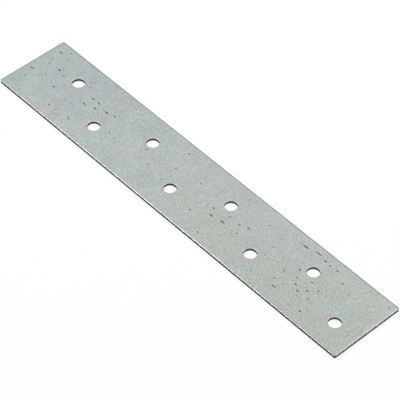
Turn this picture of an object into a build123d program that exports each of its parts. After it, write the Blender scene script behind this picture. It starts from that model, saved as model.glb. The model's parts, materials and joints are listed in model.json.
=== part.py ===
# A flat mending plate: a strip sheared from galvanised sheet steel, with two staggered
# rows of nail holes punched through it. The shear and the punches came down on the top
# side, so every cut has the form that a die gives it: the top surface is drawn down in a
# wide, shallow roll, the wall below it is square, and the underside edge is crisp.
#
# Frame: the origin is at the centre of the underside, +X along the strip towards its
# short-margin end, +Y across it, and +Z up through the sheet to the rolled side.
import os

from build123d import *

os.makedirs("parts", exist_ok=True)

# Driving dimensions, in millimetres
strip_width = 38.1
sheet_thickness = 1.75  # with its zinc, just under 15 gauge

hole_count = 8
hole_diameter = 6.05  # below its roll, for nails and wood screws
hole_pitch = 25.4  # along the strip, from each hole to the next one in the other row
row_spacing = 12.7  # across the strip, between the two rows
long_margin = 25.4  # from the strip's -X end to its first hole's centre
short_margin = 12.7  # from its last hole's centre to the +X end

edge_roll_width = 0.52  # the sheared outline's roll, measured in from the wall
edge_roll_depth = 0.22  # and down from the top face
rim_roll_width = 0.32  # the same at each punched hole
rim_roll_depth = 0.14
flat_corner_radius = 0.1  # the flat top's own corners, inside the roll

# Sizes that follow from them
strip_length = long_margin + (hole_count - 1) * hole_pitch + short_margin
corner_radius = flat_corner_radius + edge_roll_width
hole_radius = hole_diameter / 2
straight_length = strip_length - 2 * corner_radius
straight_width = strip_width - 2 * corner_radius
hole_centres = [
    (long_margin + i * hole_pitch - strip_length / 2, (-1) ** i * row_spacing / 2)
    for i in range(hole_count)
]


def half_section(reach):
    """Draw the sheet's section, from its middle out to a sheared wall."""
    shoulder = sheet_thickness - edge_roll_depth
    roll_centre = (reach - edge_roll_width, shoulder)
    with BuildSketch() as section:
        with BuildLine():
            Polyline((0, sheet_thickness), (0, 0), (reach, 0), (reach, shoulder))
            roll = EllipticalCenterArc(roll_centre, edge_roll_width, edge_roll_depth)
            Line(roll @ 1, (0, sheet_thickness))
        make_face()
    return section.sketch


# One rounded corner of the outline, as the whole disc that it is a quarter of
with BuildPart() as corner_disc:
    with BuildSketch(Plane.XZ):
        add(half_section(corner_radius))
    revolve(axis=Axis.Z)

# What a punch takes out: the straight bore, flaring into the roll at the top face
with BuildPart() as punched_hole:
    with BuildSketch(Plane.XZ):
        shoulder = sheet_thickness - rim_roll_depth
        with BuildLine():
            Polyline((0, sheet_thickness), (0, 0), (hole_radius, 0), (hole_radius, shoulder))
            rim_roll = EllipticalCenterArc(
                (hole_radius + rim_roll_width, shoulder),
                rim_roll_width,
                rim_roll_depth,
                start_angle=180,
                arc_size=-90,
            )
            Line(rim_roll @ 1, (0, sheet_thickness))
        make_face()
    revolve(axis=Axis.Z)

with BuildPart() as mending_plate:
    # The two long cuts, then the two end cuts, each run reaching only to the corners
    with BuildSketch(Plane.YZ):
        add(half_section(strip_width / 2))
        mirror(about=Plane.YZ)
    extrude(amount=straight_length / 2, both=True)
    with BuildSketch(Plane.XZ):
        add(half_section(strip_length / 2))
        mirror(about=Plane.YZ)
    extrude(amount=straight_width / 2, both=True)
    with GridLocations(straight_length, straight_width, 2, 2):
        add(corner_disc.part)

    with Locations(*hole_centres):
        add(punched_hole.part, mode=Mode.SUBTRACT)

mending_plate.part.label = "mending_plate"
export_step(mending_plate.part, "parts/mending_plate.step")
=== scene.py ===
import json
import math
import random

import bmesh
import bpy
from bpy.props import FloatProperty, FloatVectorProperty, IntProperty, PointerProperty
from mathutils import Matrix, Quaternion, Vector, noise
from mathutils.geometry import delaunay_2d_cdt


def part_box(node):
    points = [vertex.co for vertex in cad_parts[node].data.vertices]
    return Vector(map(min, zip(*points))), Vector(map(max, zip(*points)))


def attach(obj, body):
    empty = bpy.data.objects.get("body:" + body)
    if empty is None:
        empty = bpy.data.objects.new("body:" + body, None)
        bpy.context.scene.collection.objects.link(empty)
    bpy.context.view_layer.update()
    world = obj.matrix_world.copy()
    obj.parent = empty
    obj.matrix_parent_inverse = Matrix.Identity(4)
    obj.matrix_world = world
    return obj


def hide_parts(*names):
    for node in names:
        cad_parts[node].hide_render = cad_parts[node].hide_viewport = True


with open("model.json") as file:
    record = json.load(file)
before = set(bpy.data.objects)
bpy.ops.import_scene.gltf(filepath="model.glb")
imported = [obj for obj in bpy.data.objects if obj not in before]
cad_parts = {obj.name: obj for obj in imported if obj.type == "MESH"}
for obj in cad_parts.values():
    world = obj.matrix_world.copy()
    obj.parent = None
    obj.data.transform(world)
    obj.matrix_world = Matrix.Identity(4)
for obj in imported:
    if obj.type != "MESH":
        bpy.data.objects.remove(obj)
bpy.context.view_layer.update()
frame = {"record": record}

bl_info = {
    "name": "Galvanised Mending Plate",
    "version": (1, 0, 0),
    "blender": (4, 5, 0),
    "location": "View3D > Sidebar > Mending Plate",
    "description": "Dresses a sheared and punched galvanised mending plate, and sets a studio stage for it",
    "category": "Mesh",
}

MM = 0.001

NODE = "mending_plate"
PLATE_LOW, PLATE_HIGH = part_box(NODE)
THICKNESS = PLATE_HIGH.z - PLATE_LOW.z
NAIL_HOLES = [mount for mount in frame["record"]["mounts"] if mount["kind"] == "bore"]
HOLE_CENTRES = [Vector(mount["pos_m"][:2]) for mount in NAIL_HOLES]
HOLE_RADIUS = NAIL_HOLES[0]["dims"]["r_mm"] * MM
RIM_ROLL_DEPTH = THICKNESS - NAIL_HOLES[0]["dims"]["length_mm"] * MM


# ---------------------------------------------------------------- what a user would change


class MendingPlateSizes(bpy.types.PropertyGroup):
    """Sizes of the plate's cuts and surface that a user would change"""

    edge_roll_width: FloatProperty(
        name="Edge Roll Width", unit="LENGTH", default=0.52 * MM,
        description="How far in from the sheared outline the top surface starts to roll down",
    )
    edge_roll_depth: FloatProperty(
        name="Edge Roll Depth", unit="LENGTH", default=0.22 * MM,
        description="How far down the wall the sheared outline's roll reaches",
    )
    corner_radius: FloatProperty(
        name="Corner Radius", unit="LENGTH", default=0.62 * MM,
        description="Rounding of the plate's four corners, seen from above",
    )
    rim_roll_width: FloatProperty(
        name="Rim Roll Width", unit="LENGTH", default=0.32 * MM,
        description="How far out from a nail hole's wall the top surface starts to roll down",
    )
    edge_torn_share: FloatProperty(
        name="Edge Torn Share", subtype="FACTOR", default=0.8, min=0.1, max=0.85,
        description="Share of the outline's wall, from the underside up, that tore when it was cut",
    )
    rim_torn_share: FloatProperty(
        name="Rim Torn Share", subtype="FACTOR", default=0.68, min=0.1, max=0.85,
        description="Share of a nail hole's wall, from the underside up, that tore when it was cut",
    )
    edge_lean: FloatProperty(
        name="Edge Lean", unit="LENGTH", default=0.07 * MM,
        description="How far the outline's torn band leans back into the metal at the underside",
    )
    rim_burr: FloatProperty(
        name="Rim Burr", unit="LENGTH", default=0.04 * MM,
        description="How far a nail hole's torn band leans into the hole at the underside",
    )
    torn_roughness: FloatProperty(
        name="Torn Roughness", unit="LENGTH", default=0.02 * MM,
        description="Height of the torn band's grain",
    )
    waviness: FloatProperty(
        name="Waviness", unit="LENGTH", default=0.03 * MM,
        description="How far the top side dips out of flat",
    )
    mark_width: FloatProperty(
        name="Mark Width", unit="LENGTH", default=0.8 * MM,
        description="Width of the widest drag marks",
    )
    mark_depth: FloatProperty(
        name="Mark Depth", unit="LENGTH", default=0.05 * MM,
        description="Depth of the widest drag marks, and less in the narrower ones",
    )
    scattered_marks: IntProperty(
        name="Scattered Marks", subtype="UNSIGNED", default=34, min=0,
        description="Small marks strewn over each side, besides the top side's groups",
    )
    seed: IntProperty(name="Seed", default=1, description="Seed of the drag marks")


class ZincFinish(bpy.types.PropertyGroup):
    """Colours and gloss of the galvanised sheet"""

    cool_zinc: FloatVectorProperty(
        name="Cool Zinc", subtype="COLOR", size=4, min=0, max=1, default=(0.401, 0.454, 0.452, 1),
        description="Zinc at the -X end, where its film looks bluest",
    )
    green_zinc: FloatVectorProperty(
        name="Green Zinc", subtype="COLOR", size=4, min=0, max=1, default=(0.43, 0.471, 0.45, 1),
        description="Zinc over the plate's middle",
    )
    warm_zinc: FloatVectorProperty(
        name="Warm Zinc", subtype="COLOR", size=4, min=0, max=1, default=(0.392, 0.424, 0.389, 1),
        description="Zinc at the +X end, where its film looks warmest",
    )
    mark_colour: FloatVectorProperty(
        name="Mark Colour", subtype="COLOR", size=4, min=0, max=1, default=(0.05, 0.055, 0.055, 1),
        description="Dirt and bare metal in the drag marks",
    )
    burnished_steel: FloatVectorProperty(
        name="Burnished Steel", subtype="COLOR", size=4, min=0, max=1, default=(0.5, 0.5, 0.49, 1),
        description="Upper part of a cut wall, which the blade or punch slid along",
    )
    # Dull Steel is partly the torn band's own dull colour and partly painted shade, darker to stand for the
    # shadow on the lower cut walls and inside the nail holes
    dull_steel_and_painted_shade: FloatVectorProperty(
        name="Dull Steel", subtype="COLOR", size=4, min=0, max=1, default=(0.06, 0.06, 0.058, 1),
        description="Torn lower part of a cut wall",
    )
    hue_patches: FloatProperty(
        name="Hue Patches", subtype="FACTOR", min=0, max=0.2, default=0.05,
        description="How far small patches of the film lean towards one hue or another",
    )
    roughness: FloatProperty(
        name="Roughness", subtype="FACTOR", min=0, max=1, default=0.3,
        description="Roughness of the clean zinc",
    )
    sheared_zinc: FloatVectorProperty(
        name="Sheared Zinc", subtype="COLOR", size=4, min=0, max=1, default=(0.108, 0.113, 0.111, 1),
        description="Zinc thinned and darkened on the outline's roll",
    )
    sheared_roughness: FloatProperty(
        name="Sheared Roughness", subtype="FACTOR", min=0, max=1, default=0.35,
        description="Roughness of the outline's roll, drawn smooth by the blade",
    )
    punched_zinc: FloatVectorProperty(
        name="Punched Zinc", subtype="COLOR", size=4, min=0, max=1, default=(0.3, 0.31, 0.305, 1),
        description="Zinc stretched on the nail holes' rolls",
    )
    punched_roughness: FloatProperty(
        name="Punched Roughness", subtype="FACTOR", min=0, max=1, default=0.65,
        description="Roughness of the nail holes' rolls, pulled matt by the punch",
    )


class StudioStage(bpy.types.PropertyGroup):
    """The camera and the light round the plate"""

    camera_azimuth: FloatProperty(
        name="Camera Azimuth", subtype="ANGLE", default=math.radians(46.23),
        description="Direction the camera looks in, turned from +Y towards -X",
    )
    camera_elevation: FloatProperty(
        name="Camera Elevation", subtype="ANGLE", default=math.radians(47.46),
        description="Height of the camera above the horizon",
    )
    camera_roll: FloatProperty(
        name="Camera Roll", subtype="ANGLE", default=math.radians(1.48),
        description="Turn of the camera about its own line of sight, anticlockwise",
    )
    camera_distance: FloatProperty(
        name="Camera Distance", unit="LENGTH", default=0.9403,
        description="From the camera to the point it aims at",
    )
    camera_aim: FloatVectorProperty(
        name="Camera Aim", subtype="XYZ", unit="LENGTH", default=(0.0077, -0.0015, PLATE_HIGH.z),
        description="Point on the plate's top side that the camera aims at",
    )
    lens: FloatProperty(
        name="Lens", unit="CAMERA", default=194.95, description="Focal length in millimetres"
    )
    key_power: FloatProperty(
        name="Key Power", unit="POWER", default=8, description="Softbox at the camera's left"
    )
    fill_power: FloatProperty(
        name="Fill Power", unit="POWER", default=7.2, description="Softbox at the camera's right"
    )
    surround: FloatProperty(
        name="Surround", subtype="FACTOR", min=0, max=1, default=0.2,
        description="Light that the white room gives, though it is seen and reflected as full white",
    )


# ---------------------------------------------------------------- the cuts

# How finely the cuts are built
OUTLINE_STEP = 0.8 * MM
CORNER_STEPS = 6
HOLE_STEPS = 72
TORN_STEPS = 6
BURNISHED_STEPS = 3
ROLL_STEPS = 8

ROLL_CURVE = 1.3  # 1 is a flat bevel, and a higher number is a rounder roll
TEAR_LINE = 0.05 * MM  # height over which the torn band gives way to the burnished one
SUPPORT = 0.12 * MM  # narrow strip of each flat beside a cut, which keeps its shading crisp

# Grain of the torn bands, coarse and fine, and the wander of the line where the tear began
COARSE_GRAIN = 0.35 * MM
FINE_GRAIN = 0.12 * MM
WANDER_LENGTH = 2.5 * MM
WANDER_HEIGHT = 0.09 * MM


def outline_points(radius):
    """(point, way out of the metal) round the sheared outline, anticlockwise from above."""
    corners = [(1, 1), (-1, 1), (-1, -1), (1, -1)]
    centres = [
        Vector((sx * (PLATE_HIGH.x - radius), sy * (PLATE_HIGH.y - radius))) for sx, sy in corners
    ]
    points = []
    for i, centre in enumerate(centres):
        for k in range(CORNER_STEPS + 1):
            angle = i * math.pi / 2 + math.pi / 2 * k / CORNER_STEPS
            out = Vector((math.cos(angle), math.sin(angle)))
            points.append((centre + out * radius, out))
        start = points[-1][0]
        following = centres[(i + 1) % 4] + out * radius
        runs = max(1, round((following - start).length / OUTLINE_STEP))
        points += [(start.lerp(following, k / runs), out) for k in range(1, runs)]
    return points


def hole_points(centre):
    """(point, way out of the metal) round a punched hole, clockwise from above."""
    points = []
    for k in range(HOLE_STEPS):
        angle = -2 * math.pi * k / HOLE_STEPS
        away = Vector((math.cos(angle), math.sin(angle)))
        points.append((centre + away * HOLE_RADIUS, -away))
    return points


def station(inset, height, rough=0, burnished=0, dull_and_shade=0, rolled=0):
    """One step up a cut: how far in from its wall, how high, and its share of each finish."""
    return inset, height, rough, burnished, dull_and_shade, rolled


def cut_stations(roll_width, roll_depth, torn_share, lean):
    """Stations up a cut, from the underside's flat to the top's."""
    shoulder = THICKNESS - roll_depth
    tear = THICKNESS * torn_share
    # The dull share marks the torn band, coloured partly as dull steel and partly as painted shade
    stations = [station(lean + SUPPORT, 0), station(lean, 0, rough=0.3, dull_and_shade=1)]
    for k in range(1, TORN_STEPS):
        share = k / TORN_STEPS
        stations.append(station(lean * (1 - share), tear * k / TORN_STEPS, rough=1, dull_and_shade=1))
    stations.append(station(0, tear, rough=0.5, dull_and_shade=1))
    stations.append(station(0, tear + TEAR_LINE, burnished=1))
    for k in range(1, BURNISHED_STEPS + 1):
        height = tear + (shoulder - tear) * k / BURNISHED_STEPS
        stations.append(station(0, height, burnished=1))
    for k in range(1, ROLL_STEPS):
        height = THICKNESS - roll_depth * (1 - k / ROLL_STEPS) ** ROLL_CURVE
        stations.append(station(roll_width * k / ROLL_STEPS, height, rolled=1))
    stations.append(station(roll_width, THICKNESS))
    stations.append(station(roll_width + SUPPORT, THICKNESS))
    return stations


def add_cut(bm, points, stations, sizes, roll):
    """Skin one closed cut with quads, its roll marked by the attribute of that name.

    Returns its rings on the underside and on the top.
    """
    burnished_steel = bm.verts.layers.float["burnished_steel"]
    dull_steel_and_painted_shade = bm.verts.layers.float["dull_steel_and_painted_shade"]
    roll_share = bm.verts.layers.float[roll]
    rings = []
    for inset, height, rough, burnished, dull_and_shade, rolled in stations:
        ring = []
        for point, out in points:
            at = Vector((*point, height)) - Vector((*out, 0)) * inset
            if rough:
                grain = noise.noise(at / COARSE_GRAIN) + 0.5 * noise.noise(at / FINE_GRAIN)
                wander = noise.noise(Vector((*point, 0)) / WANDER_LENGTH)
                at -= Vector((*out, 0)) * sizes.torn_roughness * rough * (0.5 + 0.5 * grain)
                at.z += WANDER_HEIGHT * wander * height / THICKNESS
            vertex = bm.verts.new(at)
            vertex[burnished_steel] = burnished
            # The torn band's share, whose colour is partly painted shade
            vertex[dull_steel_and_painted_shade] = dull_and_shade
            vertex[roll_share] = rolled
            ring.append(vertex)
        rings.append(ring)
    for lower, upper in zip(rings, rings[1:]):
        for k in range(len(lower)):
            n = (k + 1) % len(lower)
            bm.faces.new((lower[k], lower[n], upper[n], upper[k]))
    return rings[0], rings[-1]


# ---------------------------------------------------------------- the drag marks

# Groups of drag marks on the top side, in millimetres: the hole that each lies by, counted
# from the -X end, how far along and across from it, the group's reach along and across, how
# many marks it has and the longest. All of them lie along the plate.
MARK_GROUPS = [
    (1, -12, 0, 12, 10, 5, 2.5),
    (2, -18, -6, 10, 4, 3, 2.5),
    (2, -6, 8, 8, 4, 6, 3),
    (2, 10, 2, 4, 2, 2, 2),
    (5, 0, -8, 5, 4, 4, 3),
    (5, 13, -4, 3, 1, 2, 3),
    (6, 18, -5, 3, 1, 1, 4),
    (7, -3, 8, 11, 1, 6, 4),
    (7, 0, -9, 9, 6, 12, 2),
]
GROUPED_WIDTHS = (0.8, 1.0)  # shares of the mark width
SCATTERED_WIDTHS = (0.5, 0.8)
SCATTERED_LONGEST = 1.5 * MM
SHORTEST = 0.35  # a mark's least length, as a share of its group's longest
TRIES_PER_MARK = 100

# Rings of a mark, from the flat round it to its floor: share of its width, share of its
# depth, and darkness
MARK_RINGS = [(1.3, 0.0, 0.0), (1.0, 0.0, 0.0), (0.7, 0.75, 1.0), (0.3, 1.0, 1.0)]
MARK_STEPS = 18
MARK_SWAY = 0.19  # how far its sides wander, as a share of its width
SWAY_LENGTH = 0.9 * MM

# Flat kept between a mark and the cuts' rolls
EDGE_ROOM = 0.6 * MM
RIM_ROOM = 0.4 * MM


def mark_rings(centre, length, width, depth):
    """Rings of one drag mark, each (points, depth, darkness)."""
    ways, sways = [], []
    for k in range(MARK_STEPS):
        angle = 2 * math.pi * k / MARK_STEPS
        way = Vector((math.cos(angle), math.sin(angle)))
        at = Vector((centre.x + way.x * length / 2, centre.y + way.y * width / 2, 0))
        ways.append(way)
        sways.append(MARK_SWAY * width * noise.noise(at / SWAY_LENGTH))
    rings = []
    for share, sunk, dark in MARK_RINGS:
        inset = width / 2 * (1 - share)
        points = [
            centre + Vector((way.x * (length / 2 - inset), way.y * (width / 2 - inset) + sway))
            for way, sway in zip(ways, sways)
        ]
        rings.append((points, depth * sunk, dark))
    return rings


def clear_of_cuts(point, reach, sizes):
    """Whether what reaches this far along the plate from a point stays on the sheet's flat."""
    room = sizes.edge_roll_width + EDGE_ROOM
    within_ends = abs(point.x) + reach < PLATE_HIGH.x - room
    within_sides = abs(point.y) + sizes.mark_width / 2 < PLATE_HIGH.y - room
    clear = HOLE_RADIUS + sizes.rim_roll_width + RIM_ROOM + reach
    off_holes = all((point - centre).length > clear for centre in HOLE_CENTRES)
    return within_ends and within_sides and off_holes


def strew_marks(marks, count, middle, reach, longest, widths, sizes, rng):
    """Add up to this many marks to a patch of the sheet, clear of its cuts and each other."""
    wanted = len(marks) + count
    for _ in range(TRIES_PER_MARK * count):
        centre = middle + Vector((reach.x * rng.uniform(-1, 1), reach.y * rng.uniform(-1, 1)))
        length = longest * rng.uniform(SHORTEST, 1)
        width = sizes.mark_width * rng.uniform(*widths)
        apart = all((centre - c).length > (length + other) / 2 + 2 * w for c, other, w in marks)
        if apart and clear_of_cuts(centre, length / 2, sizes):
            marks.append((centre, length, width))
        if len(marks) == wanted:
            break


def side_marks(sizes, groups, rng):
    """Drag marks of one side, as (centre, length, width): its groups, then the small ones."""
    marks = []
    for hole, along, across, reach_along, reach_across, count, longest in groups:
        middle = HOLE_CENTRES[hole - 1] + Vector((along, across)) * MM
        reach = Vector((reach_along, reach_across)) * MM
        strew_marks(marks, count, middle, reach, longest * MM, GROUPED_WIDTHS, sizes, rng)
    strew_marks(
        marks, sizes.scattered_marks, Vector((0, 0)), PLATE_HIGH.xy, SCATTERED_LONGEST,
        SCATTERED_WIDTHS, sizes, rng,
    )
    return marks


# ---------------------------------------------------------------- the plate

ATTRIBUTES = ("burnished_steel", "dull_steel_and_painted_shade", "sheared_roll", "punched_roll", "drag_mark")

# The flats' own points, and the room that they leave to marks and rolls
FLAT_SPACING = 1.8 * MM
MARK_ROOM = 0.3 * MM
POINT_ROOM = 0.2 * MM
MERGE_DISTANCE = 1e-7

# The top side's waves, and the power by which they die away down the cuts
WAVE_LENGTH = 22 * MM
WAVE_FADE = 4
SHARP_ANGLE = math.radians(40)


def flat_points(marks, sizes):
    """Points evenly over the sheet, in staggered rows, clear of its cuts and marks."""
    columns = int((PLATE_HIGH.x - PLATE_LOW.x) / FLAT_SPACING)
    rows = int((PLATE_HIGH.y - PLATE_LOW.y) / FLAT_SPACING)
    points = []
    for i in range(1, columns):
        x = PLATE_LOW.x + i * FLAT_SPACING
        for j in range(1, rows):
            point = Vector((x, PLATE_LOW.y + (j + i % 2 / 2) * FLAT_SPACING))
            near_mark = any(
                abs(point.x - c.x) < length / 2 + MARK_ROOM and abs(point.y - c.y) < width
                for c, length, width in marks
            )
            if clear_of_cuts(point, POINT_ROOM, sizes) and not near_mark:
                points.append(point)
    return points


def add_face(bm, rings, flat_radius, marks, sizes, height, facing):
    """Fill one side of the sheet between its cuts, with its drag marks sunk into it."""
    drag_mark = bm.verts.layers.float["drag_mark"]
    points, vertices, edges = [], [], []
    for ring in rings:
        first = len(points)
        edges += [(first + k, first + (k + 1) % len(ring)) for k in range(len(ring))]
        points += [vertex.co.xy for vertex in ring]
        vertices += ring
    sunk = [(0.0, 0.0)] * len(points)
    for centre, length, width in marks:
        deepest = sizes.mark_depth * width / sizes.mark_width
        for ring, depth, darkness in mark_rings(centre, length, width, deepest):
            first = len(points)
            edges += [(first + k, first + (k + 1) % len(ring)) for k in range(len(ring))]
            points += ring
            sunk += [(depth, darkness)] * len(ring)
    flat = flat_points(marks, sizes)
    points += flat
    sunk += [(0.0, 0.0)] * len(flat)

    found, _, faces, sources, _, _ = delaunay_2d_cdt(points, edges, [], 1, MERGE_DISTANCE)
    made = []
    for co, source in zip(found, sources):
        own = source[0] if source else None
        if own is not None and own < len(vertices):
            made.append(vertices[own])
            continue
        depth, darkness = sunk[own] if own is not None else (0.0, 0.0)
        vertex = bm.verts.new((co.x, co.y, height - facing * depth))
        vertex[drag_mark] = darkness
        made.append(vertex)
    for face in faces:
        corners = [made[i] for i in face]
        middle = sum((v.co.xy for v in corners), Vector((0, 0))) / len(corners)
        if any((middle - centre).length < flat_radius for centre in HOLE_CENTRES):
            continue
        bm.faces.new(corners if facing > 0 else corners[::-1])


def build_plate_mesh(sizes):
    """The whole plate as one mesh, with its bare cuts and its marks as attributes."""
    bm = bmesh.new()
    for attribute in ATTRIBUTES:
        bm.verts.layers.float.new(attribute)
    edge = cut_stations(
        sizes.edge_roll_width, sizes.edge_roll_depth, sizes.edge_torn_share, sizes.edge_lean
    )
    rim = cut_stations(
        sizes.rim_roll_width, RIM_ROLL_DEPTH, sizes.rim_torn_share, -sizes.rim_burr
    )
    # The default roll and support together are wider than the corner radius, so the mesh folds
    # over itself at the top side's four corners, and is not closed there
    cuts = [add_cut(bm, outline_points(sizes.corner_radius), edge, sizes, "sheared_roll")]
    for centre in HOLE_CENTRES:
        cuts.append(add_cut(bm, hole_points(centre), rim, sizes, "punched_roll"))
    rng = random.Random(sizes.seed)
    top_marks = side_marks(sizes, MARK_GROUPS, rng)
    under_marks = side_marks(sizes, [], rng)
    unders, tops = zip(*cuts)
    add_face(bm, tops, HOLE_RADIUS + rim[-1][0], top_marks, sizes, THICKNESS, 1)
    add_face(bm, unders, HOLE_RADIUS + rim[0][0], under_marks, sizes, 0, -1)

    # The top side waves, and the underside stays flat
    for vertex in bm.verts:
        share = (vertex.co.z / THICKNESS) ** WAVE_FADE
        swell = 0.5 + 0.5 * noise.noise(Vector((vertex.co.x, vertex.co.y, 0)) / WAVE_LENGTH)
        vertex.co.z -= sizes.waviness * swell * share
        vertex.co.z += PLATE_LOW.z
    bm.normal_update()
    for face in bm.faces:
        face.smooth = True
    mesh = bpy.data.meshes.new("galvanised_plate")
    bm.to_mesh(mesh)
    bm.free()
    mesh.set_sharp_from_angle(angle=SHARP_ANGLE)
    return mesh


# ---------------------------------------------------------------- its finish

# Layers of the zinc's tone: grain size in millimetres, strength, and how many times longer
# the grain is along the plate than across it
TONE_LAYERS = [(0.6, 1.3, 1), (1.6, 0.2, 1), (0.6, 0.3, 5), (4.0, 0.12, 1), (14.0, 0.14, 1)]

# The film's hue: soft patches, small patches, and its drift across the plate in each metre
SOFT_PATCH = 14 * MM
SOFT_PATCH_STRENGTH = 1.1
SMALL_PATCH = 9 * MM
DRIFT_ACROSS = -6.0

# The zinc's own fine grain, in its gloss and its relief
ZINC_GRAIN = 0.5 * MM
GRAIN_GLOSS = 0.12
GRAIN_HEIGHT = 0.02 * MM
GRAIN_RELIEF = 0.35
MARK_ROUGHNESS = 0.25  # added to the zinc's in the drag marks

# Shine at a grazing angle, of the zinc and of the torn bands; the torn bands' is halved, partly for their
# roughness and partly as painted shade
FULL_SHINE = (1, 1, 1, 1)
SHADED_TORN_SHINE = (0.5, 0.5, 0.5, 1)


def node(tree, kind, inputs=None, **settings):
    """Add a node, with its settings and its inputs, each a value or another node's output."""
    made = tree.nodes.new(kind)
    for name, value in settings.items():
        setattr(made, name, value)
    for name, value in (inputs or {}).items():
        if isinstance(value, bpy.types.NodeSocket):
            tree.links.new(value, made.inputs[name])
        else:
            made.inputs[name].default_value = value
    return made


def mixed(tree, factor, first, second, blend="MIX"):
    """Mix two colours, each a value or an output."""
    inputs = {0: factor, 6: first, 7: second}
    return node(tree, "ShaderNodeMix", inputs, data_type="RGBA", blend_type=blend).outputs[2]


def maths(tree, operation, first, second=0.0, third=0.0):
    """One Math node on two or three numbers, each a value or an output."""
    inputs = {0: first, 1: second, 2: third}
    return node(tree, "ShaderNodeMath", inputs, operation=operation).outputs[0]


def noise_node(tree, place, size, detail=2.0, roughness=0.55, length=1):
    """Noise with grains of about this size in metres, and this many times longer along X."""
    scale = [1 / length / size, 1 / size, 1 / size]
    scaled = node(tree, "ShaderNodeMapping", {"Vector": place, "Scale": scale}).outputs["Vector"]
    return node(
        tree, "ShaderNodeTexNoise",
        {"Vector": scaled, "Scale": 1.0, "Detail": detail, "Roughness": roughness},
    )


def varied(tree, value, field, strength):
    """A value pushed up and down by noise about 0.5."""
    base = maths(tree, "SUBTRACT", value, strength / 2)
    return maths(tree, "MULTIPLY_ADD", field, strength, base)


def film_colour(tree, place, finish):
    """The zinc film's colour, which drifts from cool to warm along the plate, in patches."""
    apart = node(tree, "ShaderNodeSeparateXYZ", {"Vector": place})
    along = maths(tree, "MULTIPLY_ADD", apart.outputs["X"], 1 / (PLATE_HIGH.x - PLATE_LOW.x), 0.5)
    drift = maths(tree, "MULTIPLY_ADD", apart.outputs["Y"], DRIFT_ACROSS, along)
    patches = noise_node(tree, place, SOFT_PATCH, detail=3.0).outputs["Fac"]
    drift = varied(tree, drift, patches, SOFT_PATCH_STRENGTH)
    ramp = node(tree, "ShaderNodeValToRGB", {"Fac": drift})
    ramp.color_ramp.elements[0].color = finish.cool_zinc
    ramp.color_ramp.elements[1].color = finish.warm_zinc
    ramp.color_ramp.elements.new(0.5).color = finish.green_zinc

    # Its tone varies by layers, from fine grain and streaks to broad clouds
    tone = 1.0
    for size, strength, length in TONE_LAYERS:
        field = noise_node(tree, place, size * MM, length=length).outputs["Fac"]
        tone = varied(tree, tone, field, strength)
    shade = node(tree, "ShaderNodeCombineColor", {"Red": tone, "Green": tone, "Blue": tone})
    colour = mixed(tree, 1.0, ramp.outputs["Color"], shade.outputs["Color"], "MULTIPLY")

    # Small patches lean towards one hue or another
    hues = noise_node(tree, place, SMALL_PATCH, detail=4.0, roughness=0.75).outputs["Color"]
    return mixed(tree, finish.hue_patches, colour, hues, "LINEAR_LIGHT")


def galvanised_zinc(finish):
    """Zinc-coated sheet, bare steel on its cuts with painted shade on their torn bands, and dark drag
    marks.
    """
    material = bpy.data.materials.new("galvanised_zinc")
    material.use_nodes = True
    tree = material.node_tree
    tree.nodes.clear()
    place = node(tree, "ShaderNodeTexCoord").outputs["Object"]
    share = {
        name: node(tree, "ShaderNodeAttribute", attribute_name=name).outputs["Fac"]
        for name in ATTRIBUTES
    }

    colour = film_colour(tree, place, finish)
    # Dull steel, last, darkens the torn bands: partly their own colour, partly painted shade for the lower
    # walls and nail holes
    for name, own_colour in (
        ("drag_mark", finish.mark_colour),
        ("sheared_roll", finish.sheared_zinc),
        ("punched_roll", finish.punched_zinc),
        ("burnished_steel", finish.burnished_steel),
        ("dull_steel_and_painted_shade", finish.dull_steel_and_painted_shade),
    ):
        colour = mixed(tree, share[name], colour, own_colour)

    grain = noise_node(tree, place, ZINC_GRAIN).outputs["Fac"]
    rough = maths(tree, "MULTIPLY_ADD", grain, GRAIN_GLOSS, finish.roughness - GRAIN_GLOSS / 2)
    for name, added in (
        ("drag_mark", MARK_ROUGHNESS),
        ("sheared_roll", finish.sheared_roughness - finish.roughness),
        ("punched_roll", finish.punched_roughness - finish.roughness),
    ):
        rough = maths(tree, "MULTIPLY_ADD", share[name], added, rough)
    bump = node(
        tree, "ShaderNodeBump",
        {"Strength": GRAIN_RELIEF, "Distance": GRAIN_HEIGHT, "Height": grain},
    )
    shader = node(
        tree, "ShaderNodeBsdfPrincipled",
        {
            "Base Color": colour,
            "Metallic": 1.0,
            "Roughness": rough,
            # The torn bands reflect less at a grazing angle, partly as painted shade
            "Specular Tint": mixed(tree, share["dull_steel_and_painted_shade"], FULL_SHINE, SHADED_TORN_SHINE),
            "Normal": bump.outputs["Normal"],
        },
    )
    node(tree, "ShaderNodeOutputMaterial", {"Surface": shader.outputs["BSDF"]})
    return material


class MENDING_OT_plate(bpy.types.Operator):
    """Build the sheared and punched plate, and give it its galvanised finish"""

    bl_idname = "mending.plate"
    bl_label = "Build Plate"
    bl_options = {"REGISTER", "UNDO"}

    def execute(self, context):
        mesh = build_plate_mesh(context.scene.mending_plate_sizes)
        mesh.materials.append(galvanised_zinc(context.scene.mending_plate_finish))
        plate = bpy.data.objects.new("galvanised_plate", mesh)
        context.scene.collection.objects.link(plate)
        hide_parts(NODE)
        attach(plate, "root")
        return {"FINISHED"}


# ---------------------------------------------------------------- the stage

FLOOR_HALF = 3.0
FLOOR_GAP = 0.02 * MM  # keeps the floor and the underside from lying in one plane
SOFTBOX_DISTANCE = 1.2
SOFTBOX_SIZE = 0.5
SENSOR_WIDTH = 36  # in millimetres, as the lens is


def seen_share(tree):
    """1 where the camera, a reflection or a refraction looks, and 0 for all other light."""
    path = node(tree, "ShaderNodeLightPath")
    seen = maths(tree, "MAXIMUM", path.outputs["Is Camera Ray"], path.outputs["Is Glossy Ray"])
    return maths(tree, "MAXIMUM", seen, path.outputs["Is Transmission Ray"])


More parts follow.
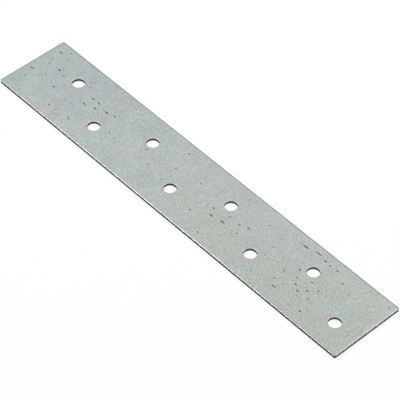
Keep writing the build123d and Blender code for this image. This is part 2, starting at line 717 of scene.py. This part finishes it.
def floor_material():
    """A pale floor that looks white, and still keeps the plate's shadow."""
    material = bpy.data.materials.new("studio_floor")
    material.use_nodes = True
    tree = material.node_tree
    tree.nodes.clear()
    paper = node(tree, "ShaderNodeBsdfDiffuse", {"Color": (0.8, 0.8, 0.8, 1)})
    faint = node(tree, "ShaderNodeBsdfDiffuse", {"Color": (0.15, 0.15, 0.15, 1)})
    glow = node(tree, "ShaderNodeEmission", {"Color": (1, 1, 1, 1), "Strength": 0.84})
    white = node(tree, "ShaderNodeAddShader", {0: faint.outputs[0], 1: glow.outputs[0]})
    choice = node(
        tree, "ShaderNodeMixShader",
        {0: seen_share(tree), 1: paper.outputs[0], 2: white.outputs[0]},
    )
    node(tree, "ShaderNodeOutputMaterial", {"Surface": choice.outputs[0]})
    return material


def add_floor(context):
    """The white floor under the plate."""
    mesh = bpy.data.meshes.new("studio_floor")
    corners = [(-1, -1), (1, -1), (1, 1), (-1, 1)]
    z = PLATE_LOW.z - FLOOR_GAP
    mesh.from_pydata([(sx * FLOOR_HALF, sy * FLOOR_HALF, z) for sx, sy in corners], [], [(0, 1, 2, 3)])
    mesh.materials.append(floor_material())
    floor = bpy.data.objects.new("studio_floor", mesh)
    context.scene.collection.objects.link(floor)


def add_room(context, surround):
    """A white room all round, which gives less light than it shows."""
    world = bpy.data.worlds.new("white_room")
    world.use_nodes = True
    context.scene.world = world
    tree = world.node_tree
    tree.nodes.clear()
    level = node(
        tree, "ShaderNodeMapRange",
        {"Value": seen_share(tree), "To Min": surround, "To Max": 1.0},
    )
    sky = node(
        tree, "ShaderNodeBackground",
        {"Color": (1, 1, 1, 1), "Strength": level.outputs["Result"]},
    )
    node(tree, "ShaderNodeOutputWorld", {"Surface": sky.outputs[0]})


def place_facing(context, name, data, azimuth, elevation, distance, aim):
    """Stand a lamp or a camera off a point, facing it. Azimuth 0 is in front, at -Y."""
    back = Vector((
        math.sin(azimuth) * math.cos(elevation),
        -math.cos(azimuth) * math.cos(elevation),
        math.sin(elevation),
    ))
    placed = bpy.data.objects.new(name, data)
    context.scene.collection.objects.link(placed)
    placed.location = aim + back * distance
    placed.rotation_mode = "QUATERNION"
    placed.rotation_quaternion = (-back).to_track_quat("-Z", "Y")
    return placed


def add_softbox(context, name, azimuth, elevation, power):
    """A square softbox that faces the middle of the plate, its angles in degrees."""
    light = bpy.data.lights.new(name, "AREA")
    light.shape = "SQUARE"
    light.size = SOFTBOX_SIZE
    light.energy = power
    azimuth, elevation = math.radians(azimuth), math.radians(elevation)
    place_facing(context, name, light, azimuth, elevation, SOFTBOX_DISTANCE, Vector((0, 0, 0)))


def add_camera(context, stage):
    """The camera, rolled about its own line of sight."""
    camera = bpy.data.cameras.new("camera")
    camera.lens = stage.lens
    camera.sensor_width = SENSOR_WIDTH
    camera.clip_start = 0.01
    camera.clip_end = 10
    viewer = place_facing(
        context, "camera", camera, stage.camera_azimuth, stage.camera_elevation,
        stage.camera_distance, Vector(stage.camera_aim),
    )
    viewer.rotation_quaternion = viewer.rotation_quaternion @ Quaternion((0, 0, 1), stage.camera_roll)
    context.scene.camera = viewer


class MENDING_OT_stage(bpy.types.Operator):
    """Set the white floor, the studio light and the camera"""

    bl_idname = "mending.stage"
    bl_label = "Set Stage"
    bl_options = {"REGISTER", "UNDO"}

    def execute(self, context):
        stage = context.scene.mending_plate_stage
        add_floor(context)
        add_room(context, stage.surround)
        add_softbox(context, "key_softbox", azimuth=-64, elevation=56.5, power=stage.key_power)
        add_softbox(context, "fill_softbox", azimuth=155, elevation=58, power=stage.fill_power)
        add_camera(context, stage)
        context.scene.view_settings.view_transform = "Standard"
        return {"FINISHED"}


# ---------------------------------------------------------------- the add-on


class MENDING_PT_panel(bpy.types.Panel):
    """Sizes, finish and stage of the mending plate"""

    bl_idname = "MENDING_PT_panel"
    bl_label = "Mending Plate"
    bl_space_type = "VIEW_3D"
    bl_region_type = "UI"
    bl_category = "Mending Plate"

    def draw(self, context):
        layout = self.layout
        for group, operator in (
            (context.scene.mending_plate_sizes, None),
            (context.scene.mending_plate_finish, "mending.plate"),
            (context.scene.mending_plate_stage, "mending.stage"),
        ):
            column = layout.column(align=True)
            for name in group.__annotations__:
                column.prop(group, name)
            if operator:
                layout.operator(operator)


CLASSES = (
    MendingPlateSizes,
    ZincFinish,
    StudioStage,
    MENDING_OT_plate,
    MENDING_OT_stage,
    MENDING_PT_panel,
)


def register():
    for cls in CLASSES:
        bpy.utils.register_class(cls)
    bpy.types.Scene.mending_plate_sizes = PointerProperty(type=MendingPlateSizes)
    bpy.types.Scene.mending_plate_finish = PointerProperty(type=ZincFinish)
    bpy.types.Scene.mending_plate_stage = PointerProperty(type=StudioStage)


def unregister():
    del bpy.types.Scene.mending_plate_stage
    del bpy.types.Scene.mending_plate_finish
    del bpy.types.Scene.mending_plate_sizes
    for cls in reversed(CLASSES):
        bpy.utils.unregister_class(cls)


def main():
    register()
    bpy.ops.mending.plate()
    bpy.ops.mending.stage()


if __name__ == "__main__":
    main()
